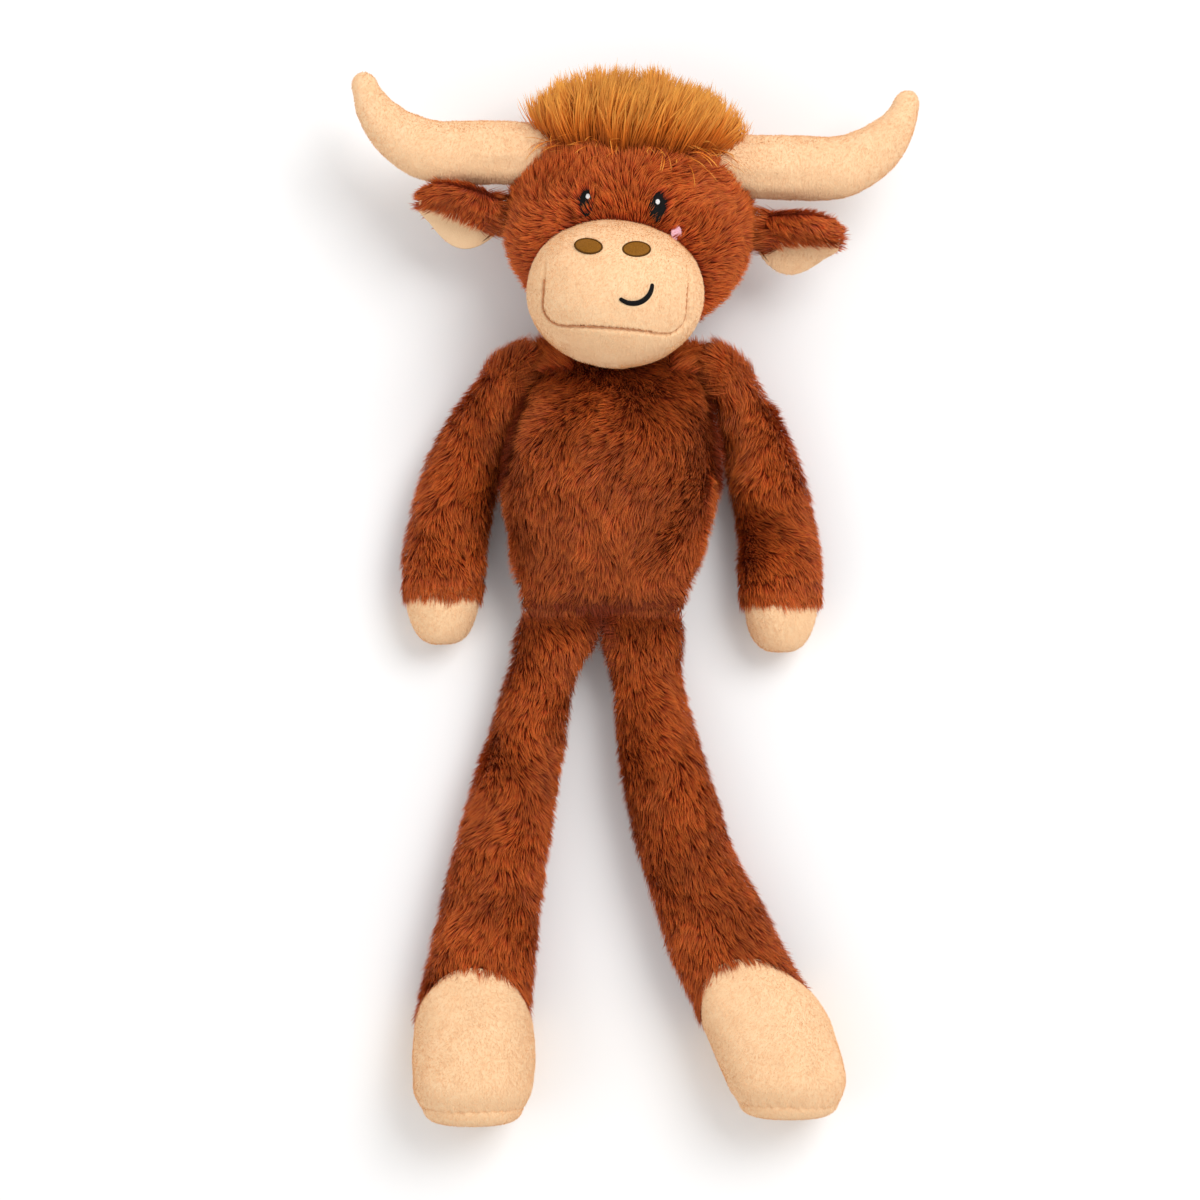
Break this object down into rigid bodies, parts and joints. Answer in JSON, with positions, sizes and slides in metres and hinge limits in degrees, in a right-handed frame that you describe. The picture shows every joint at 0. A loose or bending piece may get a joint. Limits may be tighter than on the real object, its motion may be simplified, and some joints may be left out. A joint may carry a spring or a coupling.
{
  "type": "plush cow",
  "caption": "Long-legged stuffed cow in brown plush with a peach muzzle, curved horns, drooping ears, a golden forelock and limbs that flop at their sewn seams.",
  "frame": {"origin": "on the flat of the back where the toy lies, under the middle of the torso", "axes": "+Y from the feet to the head, +Z from the back to the face, +X to the viewer's right"},
  "size_m": [0.2516, 0.4765, 0.1127],
  "materials": {
    "brown_plush": "short dense brushed pile in reddish brown",
    "golden_long_pile": "long straight golden pile, dark at the root",
    "peach_minky": "smooth velvety minky in peach",
    "black_thread": "satin stitch embroidery in black",
    "white_thread": "satin stitch embroidery in white",
    "brown_thread": "satin stitch embroidery in golden brown",
    "pink_felt": "short pink pile",
    "seam_thread": "rolled seam allowance with thread",
    "polyester_filling": "white polyester fibre filling"
  },
  "bodies": {
    "torso": {"torso_skin": "brown_plush", "torso_stuffing": "polyester_filling", "neck_seam": "seam_thread", "hip_seam_left": "seam_thread", "hip_seam_right": "seam_thread", "shoulder_seam_left": "seam_thread", "shoulder_seam_right": "seam_thread"},
    "head": {"head_skin": "brown_plush", "head_stuffing": "polyester_filling", "nose_panel": "peach_minky", "chin_panel": "peach_minky", "muzzle_stuffing": "polyester_filling", "eye_left": "black_thread", "eye_right": "black_thread", "eye_highlight_left": "white_thread", "eye_highlight_right": "white_thread", "nostril_left": "brown_thread", "nostril_right": "brown_thread", "smile": "black_thread", "cheek_left": "pink_felt", "cheek_right": "pink_felt", "horn_left": "peach_minky", "horn_right": "peach_minky", "horn_stuffing_left": "polyester_filling", "horn_stuffing_right": "polyester_filling", "forelock": "golden_long_pile", "ear_seam_left": "seam_thread", "ear_seam_right": "seam_thread"},
    "ear_left": {"ear_back_left": "brown_plush", "ear_lining_left": "peach_minky"},
    "arm_left": {"arm_skin_left": "brown_plush", "arm_stuffing_left": "polyester_filling", "hoof_left": "peach_minky"},
    "leg_left": {"leg_skin_left": "brown_plush", "leg_stuffing_left": "polyester_filling", "foot_left": "peach_minky", "sole_left": "peach_minky"},
    "ear_right": {"ear_back_right": "brown_plush", "ear_lining_right": "peach_minky"},
    "arm_right": {"arm_skin_right": "brown_plush", "arm_stuffing_right": "polyester_filling", "hoof_right": "peach_minky"},
    "leg_right": {"leg_skin_right": "brown_plush", "leg_stuffing_right": "polyester_filling", "foot_right": "peach_minky", "sole_right": "peach_minky"}
  },
  "joints": [
    {"name": "head_nod", "type": "hinge", "parent": "torso", "child": "head", "pos_m": [0.0045, 0.057, 0.033], "axis": [1, 0, 0], "range_deg": [-25, 15]},
    {"name": "shoulder_left_raise", "type": "hinge", "parent": "torso", "child": "arm_left", "pos_m": [-0.03524, 0.0561, 0.033], "axis": [0, 0, -1], "range_deg": [0, 80]},
    {"name": "shoulder_right_raise", "type": "hinge", "parent": "torso", "child": "arm_right", "pos_m": [0.04394, 0.0561, 0.033], "axis": [0, 0, 1], "range_deg": [0, 80]},
    {"name": "hip_left_swing", "type": "hinge", "parent": "torso", "child": "leg_left", "pos_m": [-0.0236, -0.0621, 0.0262], "axis": [-1, 0, 0], "range_deg": [-20, 90]},
    {"name": "hip_right_swing", "type": "hinge", "parent": "torso", "child": "leg_right", "pos_m": [0.0148, -0.0621, 0.0262], "axis": [-1, 0, 0], "range_deg": [-20, 90]},
    {"name": "ear_left_flop", "type": "hinge", "parent": "head", "child": "ear_left", "pos_m": [-0.04959, 0.11542, 0.046], "axis": [0.0913, 0.6497, 0.7547], "range_deg": [0, 35]},
    {"name": "ear_right_flop", "type": "hinge", "parent": "head", "child": "ear_right", "pos_m": [0.06623, 0.10832, 0.046], "axis": [-0.1026, -0.648, -0.7547], "range_deg": [0, 35]}
  ]
}
